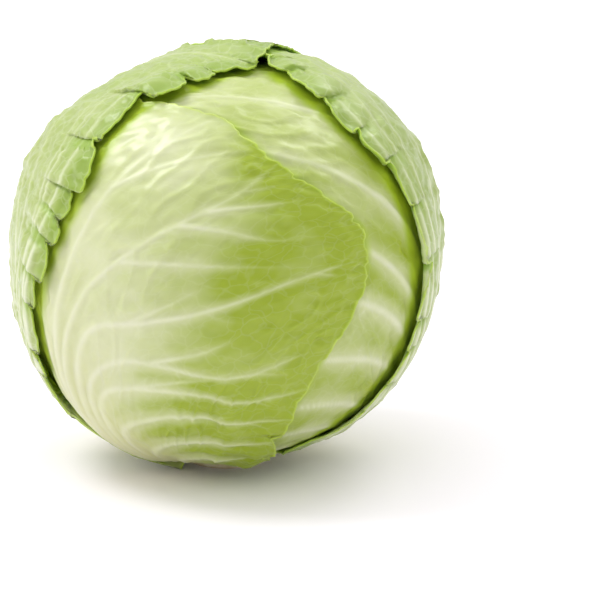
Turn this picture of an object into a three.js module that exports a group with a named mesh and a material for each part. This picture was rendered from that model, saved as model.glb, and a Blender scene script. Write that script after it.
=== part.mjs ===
// A round white cabbage head, whole, standing on the cut end of its stalk.
// Millimetres, +Z up. The origin is the middle of the stalk's cut face, on the surface under the head.
// The head's front, with its midrib leaning from lower left to upper right, faces -Y.
//
// The stalk carries everything: a ball of packed heart leaves grows round its upper part, and eight large
// leaves leave its sides one outside another and close over the crown. Each leaf is worked out on the sphere
// of directions round the head's centre, and lies on whatever is under it, as a real leaf does.
import * as THREE from "three";

const DEG = Math.PI / 180;

// Driving sizes of the head.
const CENTRE_HEIGHT = 91;        // middle of the ball above the surface
const HEART_RADIUS = 84;         // the packed heart at its widest
const HEART_RISE = 80;           // from the ball's middle to the heart's top
const HEART_SQUARENESS = 2.2;    // 2 would make its upper half an ellipsoid; more gives it broader shoulders
const HEART_DROP = 83;           // and to where its round underside would end
const HEART_UNDERSIDE = 15.8;    // height of the flat that the leaf bases grow under
const FLAT_SHARPNESS = 22;       // how crisply the ball turns into that flat
const FULL_SIDE = -10;           // the head hangs fullest on this side, in degrees from the front
const FLAT_SLOPE = 0.27;         // how steeply the flat drops towards that side
const ARC_MM = 1.53;             // length of one degree of arc on the head

// Where the heart swells. side is in degrees from the front towards the right, drop in degrees below the
// level of the head's middle, height in millimetres, and a larger tightness makes the swelling narrower.
const SWELLINGS = [
  { side: -60, drop: 50, height: 4.5, tightness: 2 },
  { side: -97, drop: -22, height: 2.6, tightness: 8 },
  { side: 107, drop: -48, height: 3.6, tightness: 8 },
];

const HEART_LEAVES = 7;          // inner leaves that show on the heart as overlapping steps
const HEART_STEP = 1.4;          // and the height of a step
const HEART_ROWS = 16;
const HEART_COLUMNS = 36;

// The stalk: a cut stub below, and the tapering core inside the heart.
const STALK_RADIUS = 17.4;
const STALK_CHAMFER = 1.2;
const CORE_TOP = 79;
const CORE_GAP = 0.8;            // clearance between the core and the heart around it
const STALK_GAP = 0.5;           // and between the stalk and the leaves that leave its sides
const STALK_SIDES = 32;

// The leaves.
const BLADE = 0.9;               // thickness of the blade
const RIB_HALF_WIDTH = 13;       // half the midrib's width where it leaves the stalk
const RIB_TIP_HALF_WIDTH = 4;
const RIB_LENGTH = 150;          // degrees of arc from the stalk to where the midrib has sunk into the blade
const LEAF_GAP = 0.7;            // air between one leaf and the next
const LEAF_CENTRE = 95;          // a leaf's middle, in degrees of arc from the stalk
const PETIOLE_PLACE = 14;        // and the foot of its midrib
const SPREAD = 78;               // how far to each side the blade fans out, in degrees at the stalk
const VEIN_PAIRS = 4;            // side veins on each side of the midrib
const MARGIN_BAND = 26;          // how far in from the margin the ruffles reach
const MARGIN_FREE_FROM = [30, 64]; // degrees of arc from the stalk over which the margin comes free of it
const RIB_CROWDING = 1.3;        // how much the columns of a leaf's grid crowd to its midrib at the stalk
const SCALLOP = 1.1;             // half depth of the margin's scallops, in degrees of arc
const LEAST_REACH = 10;          // a blade is at least this long, in degrees of arc
const LIFTING_PASSES = 14;
const MOST_LIFT = 1;             // in one pass
const SMOOTHING_PASSES = 3;

// Each leaf, from the innermost to the outermost. azimuth is where its midrib leaves the stalk, in degrees
// from the front towards the right. bend is how far the tip leans to the right, in degrees of arc. left and
// right are the reach from the stalk in degrees of arc, at the angles of REACH_ANGLES from the midrib. lift
// is how far the free margin stands off, ruffle the half height of its waves, rib the midrib's extra
// thickness at the stalk and veins that of the side veins.
const REACH_ANGLES = [0, 10, 20, 30, 42, 55, 67, 78];
const ROUND_SIDE = [170, 168, 160, 150, 130, 100, 72, 50];
const INNER_LEAF = {
  left: ROUND_SIDE, right: ROUND_SIDE, lift: 0, ruffle: 0.3, waves: 9, rib: 1, veins: 0.3,
  rows: 11, columns: 20, tone: "pale",
};
const LEAVES = [
  { ...INNER_LEAF, name: "inner_leaf_back", azimuth: 150, bend: 0, seed: 1 },
  { ...INNER_LEAF, name: "inner_leaf_left", azimuth: -100, bend: 10, seed: 2 },
  { ...INNER_LEAF, name: "inner_leaf_right", azimuth: 25, bend: -10, seed: 3 },
  {
    name: "crown_leaf", azimuth: 92, bend: -42,
    left: [198, 192, 184, 168, 138, 100, 72, 50],
    right: [198, 196, 184, 158, 130, 100, 70, 46],
    lift: 0.2, ruffle: 0.6, waves: 11, rib: 2, veins: 0.9, rows: 15, columns: 30, tone: "pale", seed: 4,
  },
  {
    name: "back_leaf", azimuth: 182, bend: 12,
    left: [174, 172, 166, 154, 130, 100, 72, 48],
    right: [174, 172, 164, 150, 126, 98, 70, 46],
    lift: 0.4, ruffle: 0.8, waves: 11, rib: 2.2, veins: 0.8, rows: 12, columns: 26, tone: "green", seed: 5,
  },
  {
    name: "front_leaf", azimuth: -62, bend: 58,
    left: [154, 149, 144, 134, 112, 84, 62, 44],
    right: [154, 149, 148, 147, 132, 102, 76, 56],
    lift: 0.4, ruffle: 0.9, waves: 12, rib: 3.4, veins: 1.1, rows: 14, columns: 32, tone: "pale", seed: 6,
  },
  {
    name: "right_wrapper_leaf", azimuth: 135, bend: 0,
    left: [173, 174, 161, 134, 104, 78, 58, 42],
    right: [173, 170, 160, 146, 118, 88, 66, 46],
    lift: 1, ruffle: 1.5, waves: 13, rib: 3, veins: 1, rows: 14, columns: 32, tone: "green", seed: 7,
  },
  {
    name: "left_wrapper_leaf", azimuth: -130, bend: 0,
    left: [186, 180, 168, 152, 122, 88, 60, 42],
    right: [186, 181, 168, 151, 116, 62, 44, 34],
    lift: 1.4, ruffle: 1.9, waves: 13, rib: 2.8, veins: 1, rows: 14, columns: 32, tone: "green", seed: 8,
  },
];

// How much further from the stalk a blade starts than its midrib does, in degrees of arc at the same angles:
// close round the stalk near the midrib, and further out where the basal lobes hang free.
const START = [0, 0.1, 0.6, 2.6, 6.5, 10.5, 14.5, 19.5];

const COLOURS = {
  pale: { color: 0xd6e2a0, roughness: 0.42 },
  green: { color: 0x9fc65c, roughness: 0.42 },
  heart: { color: 0xe9e6b4, roughness: 0.5 },
  stalk: { color: 0xe6dcc0, roughness: 0.7 },
};

const clamp = (v, low, high) => Math.min(high, Math.max(low, v));
const clamp01 = (v) => clamp(v, 0, 1);
const mix = (a, b, t) => a + (b - a) * t;
const smooth = (t) => t * t * (3 - 2 * t);

// A value read off a list of heights over a list of places, with a smooth curve through them.
function along(places, heights, at) {
  const last = places.length - 1;
  const x = Math.min(Math.max(at, places[0]), places[last]);
  let i = 0;
  while (i < last - 1 && x > places[i + 1]) i++;
  const slope = (k) => {
    const a = Math.max(0, k - 1);
    const b = Math.min(last, k + 1);
    return (heights[b] - heights[a]) / (places[b] - places[a]);
  };
  const step = places[i + 1] - places[i];
  const t = (x - places[i]) / step;
  const rise = heights[i + 1] - heights[i];
  const m0 = slope(i) * step;
  const m1 = slope(i + 1) * step;
  const square = 3 * rise - 2 * m0 - m1;
  const cube = m0 + m1 - 2 * rise;
  return heights[i] + t * (m0 + t * (square + t * cube));
}

// The direction from the head's middle to a side, given in degrees from the front towards the right, and a
// number of degrees below the level.
function towards(side, drop) {
  const level = Math.cos(drop * DEG);
  const x = level * Math.sin(side * DEG);
  const y = -level * Math.cos(side * DEG);
  return new THREE.Vector3(x, y, -Math.sin(drop * DEG));
}

const FULL_DIRECTION = towards(FULL_SIDE, 0);
for (const swelling of SWELLINGS) swelling.middle = towards(swelling.side, swelling.drop);

// The packed heart: a ball with swellings, a sloping flat underside and slow, shallow lumps.
function heartRadius(d) {
  const level = Math.hypot(d.x, d.y) / HEART_RADIUS;
  const upright = Math.abs(d.z) / (d.z > 0 ? HEART_RISE : HEART_DROP);
  const n = d.z > 0 ? HEART_SQUARENESS : 2;
  let r = (level ** n + upright ** n) ** (-1 / n);
  r += 0.9 * Math.sin(2.1 * d.x + 3.3 * d.z + 0.6) + 0.7 * Math.sin(3.7 * d.y - 1.9 * d.x + 2.2);
  for (const { middle, height, tightness } of SWELLINGS) {
    r += height * Math.max(0, d.dot(middle)) ** tightness;
  }
  const fall = -d.z - FLAT_SLOPE * d.dot(FULL_DIRECTION);
  if (fall > 0.05) {
    const flat = (CENTRE_HEIGHT - HEART_UNDERSIDE) / fall;
    r = (r ** -FLAT_SHARPNESS + flat ** -FLAT_SHARPNESS) ** (-1 / FLAT_SHARPNESS);
  }
  return r;
}

// A leaf's own directions: out through its middle, up towards its tip, and to its right seen from outside.
function leafAxes(leaf) {
  const a = leaf.azimuth * DEG;
  const c = LEAF_CENTRE * DEG;
  const level = new THREE.Vector3(Math.sin(a), -Math.cos(a), 0);
  const down = new THREE.Vector3(0, 0, -1);
  return {
    out: level.clone().multiplyScalar(Math.sin(c)).addScaledVector(down, Math.cos(c)),
    up: level.clone().multiplyScalar(Math.cos(c)).addScaledVector(down, -Math.sin(c)),
    right: new THREE.Vector3(Math.cos(a), Math.sin(a), 0),
  };
}

// How far the blade leans sideways at a height above the stalk, in degrees of arc.
const lean = (leaf, y) => leaf.bend * (y / (2 * LEAF_CENTRE)) ** 2;

// From angle and distance at the stalk to a direction from the head's centre.
function leafDirection(leaf, angle, distance) {
  const y = distance * Math.cos(angle * DEG);
  const x = distance * Math.sin(angle * DEG) + lean(leaf, y);
  const rho = Math.hypot(x, y - LEAF_CENTRE);
  const { out, up, right } = leaf.axes;
  const sideways = rho > 1e-9 ? Math.sin(rho * DEG) / rho : 0;
  return out.clone().multiplyScalar(Math.cos(rho * DEG))
    .addScaledVector(right, sideways * x)
    .addScaledVector(up, sideways * (y - LEAF_CENTRE))
    .normalize();
}

const startOf = (leaf, angle) => leaf.base + along(REACH_ANGLES, START, Math.abs(angle));

// The margin, with its shallow scallops and notches.
function reachOf(leaf, angle) {
  const side = angle < 0 ? leaf.left : leaf.right;
  const scallop = Math.sin(angle * 0.21 + leaf.seed * 1.7) + 0.6 * Math.sin(angle * 0.37 + leaf.seed * 4.1);
  const reach = along(REACH_ANGLES, side, Math.abs(angle)) + SCALLOP * scallop;
  return Math.max(reach, startOf(leaf, angle) + LEAST_REACH);
}

// How far inside the margin a place is, in millimetres, where the margin is free of the stalk.
function inset(leaf, angle, distance) {
  const toMargin = reachOf(leaf, angle) - distance;
  const toLobe = (SPREAD - Math.abs(angle)) * DEG * distance;
  return Math.min(toMargin, Math.max(toLobe, distance - startOf(leaf, angle))) * ARC_MM;
}

// The midrib's extra thickness, greatest at the stalk and gone near the tip.
function ribThickness(leaf, angle, distance) {
  const across = distance * Math.sin(angle * DEG) * ARC_MM;
  const fade = (1 - clamp01(distance / RIB_LENGTH)) ** 1.6;
  const width = mix(RIB_TIP_HALF_WIDTH, RIB_HALF_WIDTH, fade);
  return leaf.rib * fade * Math.exp(-((across / width) ** 2));
}

// How much the margin lifts and ruffles: nothing at the stalk, all of it at the free margin.
function marginShare(leaf, angle, distance) {
  const [bound, free] = MARGIN_FREE_FROM;
  const near = smooth(1 - clamp01(inset(leaf, angle, distance) / MARGIN_BAND));
  return near * smooth(clamp01((distance - bound) / (free - bound)));
}

const fromCentre = (d, r) => new THREE.Vector3(d.x * r, d.y * r, d.z * r + CENTRE_HEIGHT);

// The skins that are already in place. Each triangle is kept as seen from the head's centre: the planes
// through the centre and its sides, and its own plane. Its corners and places along its sides are kept as
// points.
const skins = [];
const skinPoints = [];
const SIDE_PLACES = [0, 0.25, 0.5, 0.75];
function laySkin(points, triangles) {
  const centre = new THREE.Vector3(0, 0, CENTRE_HEIGHT);
  const p = points.map((point) => point.clone().sub(centre));
  for (let i = 0; i < triangles.length; i += 3) {
    const corners = [p[triangles[i]], p[triangles[i + 1]], p[triangles[i + 2]]];
    skins.push(seenFromCentre(corners));
    corners.forEach((corner, k) => {
      for (const t of SIDE_PLACES) skinPoints.push(corner.clone().lerp(corners[(k + 1) % 3], t));
    });
  }
}

function seenFromCentre([a, b, c]) {
  const sides = [a.clone().cross(b), b.clone().cross(c), c.clone().cross(a)];
  const normal = b.clone().sub(a).cross(c.clone().sub(a));
  return { sides, normal, height: a.dot(normal) };
}

const covers = ({ sides }, d) => d.dot(sides[0]) >= 0 && d.dot(sides[1]) >= 0 && d.dot(sides[2]) >= 0;

// Radius of the outermost skin in a direction. Over the stalk it goes on as the heart's underside would.
function skinRadius(d) {
  let r = heartRadius(d) - 1.5 * HEART_STEP;
  for (const skin of skins) if (covers(skin, d)) r = Math.max(r, skin.height / d.dot(skin.normal));
  return r;
}

// Where a leaf's fan has a given column and row: f runs from -1 at its left to 1 at its right, t from the
// stalk to the margin. Near the stalk the veins crowd together along the midrib.
function fanPlace(leaf, f, t) {
  const gather = mix(RIB_CROWDING, 1, smooth(t));
  const angle = Math.sign(f) * SPREAD * Math.abs(f) ** gather;
  return { angle, distance: mix(startOf(leaf, angle), reachOf(leaf, angle), t) };
}

// The places where a leaf has to clear what is under it: in each of its triangles, how far out the skins
// reach at evenly spread places and at every point of theirs that it covers. weights are the place's in the
// triangle.
const SPREAD_PLACES = [
  [1, 0, 0], [0, 1, 0], [0, 0, 1],
  [0.5, 0.5, 0], [0, 0.5, 0.5], [0.5, 0, 0.5],
  [0.67, 0.17, 0.17], [0.17, 0.67, 0.17], [0.17, 0.17, 0.67], [0.33, 0.33, 0.33],
];
function clearances(directions, triangles) {
  const found = [];
  for (let i = 0; i < triangles.length; i += 3) {
    const corners = [triangles[i], triangles[i + 1], triangles[i + 2]];
    const [a, b, c] = corners.map((k) => directions[k]);
    for (const weights of SPREAD_PLACES) {
      const d = a.clone().multiplyScalar(weights[0]);
      d.addScaledVector(b, weights[1]).addScaledVector(c, weights[2]).normalize();
      found.push({ corners, weights, d, least: skinRadius(d) });
    }
    const seen = seenFromCentre([a, b, c]);
    const whole = a.dot(seen.sides[1]);
    for (const point of skinPoints) {
      if (!covers(seen, point)) continue;
      const least = point.length();
      const d = point.clone().divideScalar(least);
      const weights = [seen.sides[1], seen.sides[2], seen.sides[0]].map((side) => d.dot(side) / whole);
      found.push({ corners, weights, d, least });
    }
  }
  return found;
}

// Lifts the corners of a skin until it clears what is under it everywhere, then draws it smooth from high
// place to high place, as a leaf spans a step under it. width is the number of corners in a row.
function liftClear(directions, triangles, radii, width) {
  const places = clearances(directions, triangles);
  for (let pass = 0; pass < LIFTING_PASSES; pass++) {
    for (const { corners, weights, d, least } of places) {
      const [a, b, c] = corners.map((k) => directions[k].clone().multiplyScalar(radii[k]));
      const normal = b.sub(a).cross(c.sub(a));
      const short = least + LEAF_GAP - a.dot(normal) / d.dot(normal);
      if (short <= 0) continue;
      const share = weights.reduce((sum, w) => sum + w * w, 0);
      corners.forEach((k, n) => {
        radii[k] += (Math.min(short, MOST_LIFT) * weights[n]) / share;
      });
    }
  }
  for (let pass = 0; pass < SMOOTHING_PASSES; pass++) {
    const before = [...radii];
    for (let k = 0; k < radii.length; k++) {
      const column = k % width;
      const beside = [k - width, k + width, column > 0 ? k - 1 : -1, column < width - 1 ? k + 1 : -1];
      const around = beside.filter((n) => n >= 0 && n < radii.length).map((n) => before[n]);
      if (around.length < beside.length) continue;
      const mean = around.reduce((sum, r) => sum + r, before[k]) / (around.length + 1);
      radii[k] = Math.max(before[k], mean);
    }
  }
}

// A closed mesh from rows of points and a list of quads and triangles.
function solid(points, triangles) {
  const geometry = new THREE.BufferGeometry();
  const coordinates = new Float32Array(points.flatMap((p) => [p.x, p.y, p.z]));
  geometry.setAttribute("position", new THREE.BufferAttribute(coordinates, 3));
  geometry.setIndex(triangles);
  geometry.computeVertexNormals();
  return geometry;
}

// One leaf: a fan of veins from the stalk to the margin, as an outer and an inner skin with like triangles.
function leafGeometry(leaf) {
  const { rows, columns } = leaf;
  const width = columns + 1;
  const petiole = skinRadius(leafDirection(leaf, 0, PETIOLE_PLACE)) + LEAF_GAP;
  leaf.base = Math.asin((STALK_RADIUS + STALK_GAP) / petiole) / DEG;
  const places = [];
  for (let j = 0; j <= rows; j++) {
    for (let i = 0; i <= columns; i++) places.push({ f: (2 * i) / columns - 1, t: j / rows });
  }
  for (const place of places) Object.assign(place, fanPlace(leaf, place.f, place.t));
  const front = [];
  for (let j = 0; j < rows; j++) {
    for (let i = 0; i < columns; i++) {
      const a = j * width + i;
      front.push(a, a + 1, a + width + 1, a, a + width + 1, a + width);
    }
  }
  const directions = places.map(({ angle, distance }) => leafDirection(leaf, angle, distance));
  const radii = places.map(({ f, angle, distance }, k) => {
    const phase = f * leaf.waves * Math.PI + leaf.seed;
    const ruffle = leaf.ruffle * (1 + Math.sin(phase + 0.6 * Math.sin(2.3 * phase)));
    const standing = (leaf.lift + ruffle) * marginShare(leaf, angle, distance);
    return skinRadius(directions[k]) + LEAF_GAP + standing;
  });
  liftClear(directions, front, radii, width);
  const inner = directions.map((d, k) => fromCentre(d, radii[k]));
  const outer = directions.map((d, k) => {
    const { f, t, angle, distance } = places[k];
    const ridge = Math.max(0, Math.cos(f * VEIN_PAIRS * 2 * Math.PI) ** 3);
    const vein = ridge * leaf.veins * (1 - 0.75 * t);
    return fromCentre(d, radii[k] + BLADE + ribThickness(leaf, angle, distance) + vein);
  });
  const behind = outer.length;
  laySkin(outer, front);
  const back = [];
  for (let k = 0; k < front.length; k += 3) {
    const [a, b, c] = front.slice(k, k + 3);
    back.push(behind + a, behind + c, behind + b);
  }
  // The rim, walked once round the patch.
  const rim = [];
  for (let i = 0; i < columns; i++) rim.push(i);
  for (let j = 0; j < rows; j++) rim.push(j * width + columns);
  for (let i = columns; i > 0; i--) rim.push(rows * width + i);
  for (let j = rows; j > 0; j--) rim.push(j * width);
  const sides = rim.flatMap((a, k) => {
    const b = rim[(k + 1) % rim.length];
    return [behind + a, behind + b, b, behind + a, b, a];
  });
  return solid([...outer, ...inner], [...front, ...back, ...sides]);
}

// Radius of the stalk and core at a height.
const CORE_HEIGHTS = [0, 12, 30, 50, 66, 75, CORE_TOP];
const CORE_RADII = [STALK_RADIUS, 16.8, 15.6, 12, 8.6, 5, 0];
const coreRadius = (z) => along(CORE_HEIGHTS, CORE_RADII, z);

function stalkGeometry() {
  const profile = [new THREE.Vector2(0, 0), new THREE.Vector2(STALK_RADIUS - STALK_CHAMFER, 0)];
  for (const z of [STALK_CHAMFER, 12, 30, 50, 66, 75]) profile.push(new THREE.Vector2(coreRadius(z), z));
  profile.push(new THREE.Vector2(0, CORE_TOP));
  const lathe = new THREE.LatheGeometry(profile, STALK_SIDES);
  return lathe.rotateX(Math.PI / 2);
}

// The heart: its outer skin from the crown to the underside, then the cone that the core sits in.
function heartRelief(polar, azimuth) {
  const turns = (azimuth / (2 * Math.PI)) * HEART_LEAVES + 1.6 * (polar / Math.PI);
  const tooth = turns - Math.floor(turns);
  return HEART_STEP * (tooth < 0.82 ? tooth / 0.82 : (1 - tooth) / 0.18) * Math.sin(polar) ** 2;
}

function polarDirection(polar, azimuth) {
  const level = Math.sin(polar);
  return new THREE.Vector3(level * Math.cos(azimuth), level * Math.sin(azimuth), Math.cos(polar));
}

function heartGeometry() {
  // The mouth that the stalk comes out of is worked out where the lip is highest: across from the full side.
  const lipPlace = Math.PI - STALK_RADIUS / (CENTRE_HEIGHT - HEART_UNDERSIDE);
  const lip = heartRadius(polarDirection(lipPlace, (FULL_SIDE + 90) * DEG)) - HEART_STEP;
  const mouth = Math.asin((coreRadius(CENTRE_HEIGHT - lip) + CORE_GAP) / lip);
  const points = [];
  const ring = (place) => {
    for (let i = 0; i < HEART_COLUMNS; i++) points.push(place((2 * Math.PI * i) / HEART_COLUMNS));
  };
  const crown = polarDirection(0, 0);
  points.push(fromCentre(crown, heartRadius(crown) - HEART_STEP));
  for (let j = 1; j <= HEART_ROWS; j++) {
    const polar = ((Math.PI - mouth) * j) / HEART_ROWS;
    ring((azimuth) => {
      const d = polarDirection(polar, azimuth);
      return fromCentre(d, heartRadius(d) - HEART_STEP + heartRelief(polar, azimuth));
    });
  }
  for (const z of [30, 50, 66, 75]) {
    const r = coreRadius(z) + CORE_GAP;
    ring((azimuth) => new THREE.Vector3(r * Math.cos(azimuth), r * Math.sin(azimuth), z));
  }
  points.push(new THREE.Vector3(0, 0, CORE_TOP + CORE_GAP));
  const rings = (points.length - 2) / HEART_COLUMNS;
  const at = (j, i) => 1 + j * HEART_COLUMNS + (i % HEART_COLUMNS);
  const triangles = [];
  for (let i = 0; i < HEART_COLUMNS; i++) {
    triangles.push(0, at(0, i), at(0, i + 1));
    triangles.push(points.length - 1, at(rings - 1, i + 1), at(rings - 1, i));
    for (let j = 0; j + 1 < rings; j++) {
      triangles.push(at(j, i), at(j + 1, i), at(j + 1, i + 1));
      triangles.push(at(j, i), at(j + 1, i + 1), at(j, i + 1));
    }
  }
  laySkin(points, triangles);
  return solid(points, triangles);
}

function finish(tone) {
  return new THREE.MeshStandardMaterial({ ...COLOURS[tone], metalness: 0, side: THREE.FrontSide });
}

const head = new THREE.Group();
head.name = "cabbage_head";

function add(name, geometry, tone) {
  const mesh = new THREE.Mesh(geometry, finish(tone));
  mesh.name = name;
  head.add(mesh);
}

for (const leaf of LEAVES) leaf.axes = leafAxes(leaf);
add("stalk", stalkGeometry(), "stalk");
add("heart", heartGeometry(), "heart");
for (const leaf of LEAVES) add(leaf.name, leafGeometry(leaf), leaf.tone);

export default head;
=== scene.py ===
# %% [markdown]
# A white cabbage head, whole, standing on the cut end of its stalk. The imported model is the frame: it
# holds the stalk, the heart and eight large leaves at their real size and place. This lesson dresses it.
# Each large leaf is laid again as a fine skin with its veins, its waved margin and its folds, and every
# surface gets a finish.

# %% Load the frame
import math

import bpy
import numpy as np
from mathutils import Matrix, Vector
from mathutils.bvhtree import BVHTree


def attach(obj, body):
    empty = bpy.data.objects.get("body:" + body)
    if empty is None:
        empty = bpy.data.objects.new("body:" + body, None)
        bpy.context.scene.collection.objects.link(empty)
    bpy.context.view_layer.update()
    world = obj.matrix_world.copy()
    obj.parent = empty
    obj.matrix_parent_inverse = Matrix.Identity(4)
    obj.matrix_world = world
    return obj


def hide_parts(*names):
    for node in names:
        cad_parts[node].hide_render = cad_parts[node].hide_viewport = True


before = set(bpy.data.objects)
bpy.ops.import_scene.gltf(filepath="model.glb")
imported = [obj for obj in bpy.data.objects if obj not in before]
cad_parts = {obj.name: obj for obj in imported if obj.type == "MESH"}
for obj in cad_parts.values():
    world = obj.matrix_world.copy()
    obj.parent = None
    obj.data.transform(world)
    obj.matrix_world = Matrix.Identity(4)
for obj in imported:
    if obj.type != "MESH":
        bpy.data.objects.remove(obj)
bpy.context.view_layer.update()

MM = 0.001

# %% [markdown]
# A cabbage leaf wraps a ball, so it is easiest to describe on the ball. Places on a leaf are given in its
# own flat plane: y runs up from the stalk along the midrib and x to the right, both in degrees of arc
# round the head's middle. A leaf may lean, so that its midrib curves to one side as it climbs. These are
# the construction's own sizes, so the fine leaves land where the plain ones are.

# %% The ball and the leaf's plane
CENTRE = np.array([0.0, 0.0, 91.0])  # the head's middle, in millimetres
LEAF_CENTRE = 95.0                   # a leaf's middle, in degrees of arc from the stalk
ARC_MM = 1.53                        # length of one degree of arc on the head
SPREAD = 78.0                        # how far to each side the blade fans out, in degrees at the stalk
STALK_RADIUS = 17.4                  # in millimetres

# A leaf's reach is given at these angles from its midrib. START says how much further out than at the
# midrib the blade begins there. All are in degrees.
REACH_ANGLES = [0, 10, 20, 30, 42, 55, 67, 78]
START = [0, 0.1, 0.6, 2.6, 6.5, 10.5, 14.5, 19.5]
print("the head's middle is", CENTRE[2], "mm up, and a degree of arc is", ARC_MM, "mm")

# %% [markdown]
# Between the values given for a leaf, its outline is a smooth curve. The next helpers read such a curve,
# and turn places in the leaf's plane into directions from the head's middle.

# %% From the leaf's plane to the ball
def along(places, heights, at):
    """Values read off heights given at places, with a smooth curve through them."""
    places = np.asarray(places, float)
    heights = np.asarray(heights, float)
    last = len(places) - 1
    before = np.maximum(np.arange(last + 1) - 1, 0)
    after = np.minimum(np.arange(last + 1) + 1, last)
    slopes = (heights[after] - heights[before]) / (places[after] - places[before])
    x = np.clip(at, places[0], places[-1])
    i = np.clip(np.searchsorted(places, x, side="right") - 1, 0, last - 1)
    step = places[i + 1] - places[i]
    t = (x - places[i]) / step
    rise = heights[i + 1] - heights[i]
    m0 = slopes[i] * step
    m1 = slopes[i + 1] * step
    return heights[i] + t * m0 + t**2 * (3 * rise - 2 * m0 - m1) + t**3 * (m0 + m1 - 2 * rise)


def smooth(t):
    """An even ramp from 0 to 1 with soft ends."""
    t = np.clip(t, 0, 1)
    return t * t * (3 - 2 * t)


def leaf_axes(leaf):
    """A leaf's own directions: out through its middle, up to its tip, and to its right seen from outside."""
    a = math.radians(leaf["azimuth"])
    c = math.radians(LEAF_CENTRE)
    level = np.array([math.sin(a), -math.cos(a), 0])
    down = np.array([0, 0, -1.0])
    out = level * math.sin(c) + down * math.cos(c)
    up = level * math.cos(c) - down * math.sin(c)
    return out, up, np.array([math.cos(a), math.sin(a), 0])


def leaf_directions(leaf, x, y):
    """Unit directions from the head's middle for places in a leaf's plane."""
    out, up, right = leaf_axes(leaf)
    x = x + leaf["bend"] * (y / (2 * LEAF_CENTRE)) ** 2
    rho = np.hypot(x, y - LEAF_CENTRE)
    sideways = np.sin(np.radians(rho)) / np.maximum(rho, 1e-9)
    d = (
        np.cos(np.radians(rho))[..., None] * out
        + (sideways * x)[..., None] * right
        + (sideways * (y - LEAF_CENTRE))[..., None] * up
    )
    return d / np.linalg.norm(d, axis=-1, keepdims=True)


def outline(leaf, angle):
    """How far the blade reaches from the stalk at each angle, without its scallops and teeth."""
    left = along(REACH_ANGLES, leaf["left"], np.abs(angle))
    right = along(REACH_ANGLES, leaf["right"], np.abs(angle))
    return np.where(angle < 0, left, right)


def inside_of(leaf, directions):
    """How far inside a leaf's margin each direction is, in millimetres. Outside the margin it is negative."""
    out, up, right = leaf_axes(leaf)
    rho = np.degrees(np.arccos(np.clip(directions @ out, -1, 1)))
    turn = np.arctan2(directions @ right, directions @ up)
    y = rho * np.cos(turn) + LEAF_CENTRE
    x = rho * np.sin(turn) - leaf["bend"] * (y / (2 * LEAF_CENTRE)) ** 2
    angle = np.degrees(np.arctan2(x, y))
    distance = np.hypot(x, y)
    reach = outline(leaf, angle)
    slope = (outline(leaf, angle + 1) - outline(leaf, angle - 1)) / 2 / np.radians(reach)
    inwards = (reach - distance) / np.hypot(1, slope)
    beside = np.radians(SPREAD - np.abs(angle)) * distance
    return np.minimum(inwards, beside) * ARC_MM


# %% [markdown]
# The leaves, from the innermost to the outermost. Where the midrib leaves the stalk, how it leans, and
# how far the blade reaches to its left and right are the construction's own values. The others shape the
# fine skin. A hidden inner leaf needs few of them, so its values come first, and each large leaf gives
# only what it has otherwise.

# %% What a leaf is made from
ROUND_SIDE = [170, 168, 160, 150, 130, 100, 72, 50]
INNER_LEAF = dict(
    left=ROUND_SIDE,
    right=ROUND_SIDE,
    basal=1.0,             # how much of START the base of the blade takes
    rib=1.0,               # height of the midrib's swelling at the stalk, in millimetres
    ribbed=0,              # the side with climbing ribs: -1 left, 1 right
    scallop=0.6,           # height of the margin's slow waves, in degrees
    free=(30, 64),         # distances from the stalk over which the margin comes free, in degrees
    lift=0.0,              # how far the free margin stands off, in millimetres
    fold=0.6,              # how high its folds are
    fold_length=24,        # how far apart they fall back along the margin
    fold_reach=20,         # how far they run in
    overhang=0.0,          # how far a crest leans over the next fold
    uphill=1,              # the way along the margin in which the folds rise
    creases={},            # given places where folds fall back, and how high they are there
    quiet=(0, 0),          # places along the margin between which it lies flat
    lobe=(0, 1, 0),        # angle and width of a lobe with higher folds, and how much higher
    curl=0.2,              # how far the rim curls, in radians
    curl_width=6.0,
    tip_curl=(0, 1, 0),    # place, width and amount of a stronger curl
    crinkle=0.15,          # height of the bumps between the veins
    wrinkle=0.3,           # and of the thin wrinkles
    crumple=(0, 0, 0),     # angle and distance of a crumpled patch, and how much higher its wrinkles are
    green=(0.3, 1.4),      # where on the head the blade turns from pale to green: partly its own colour, partly painted shade
    detail=(-30, 30),      # angles between which the columns stand closer
    rows=56,
    columns=110,
    slot="pale_leaf",
)
print("a leaf takes", len(INNER_LEAF), "values")

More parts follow.
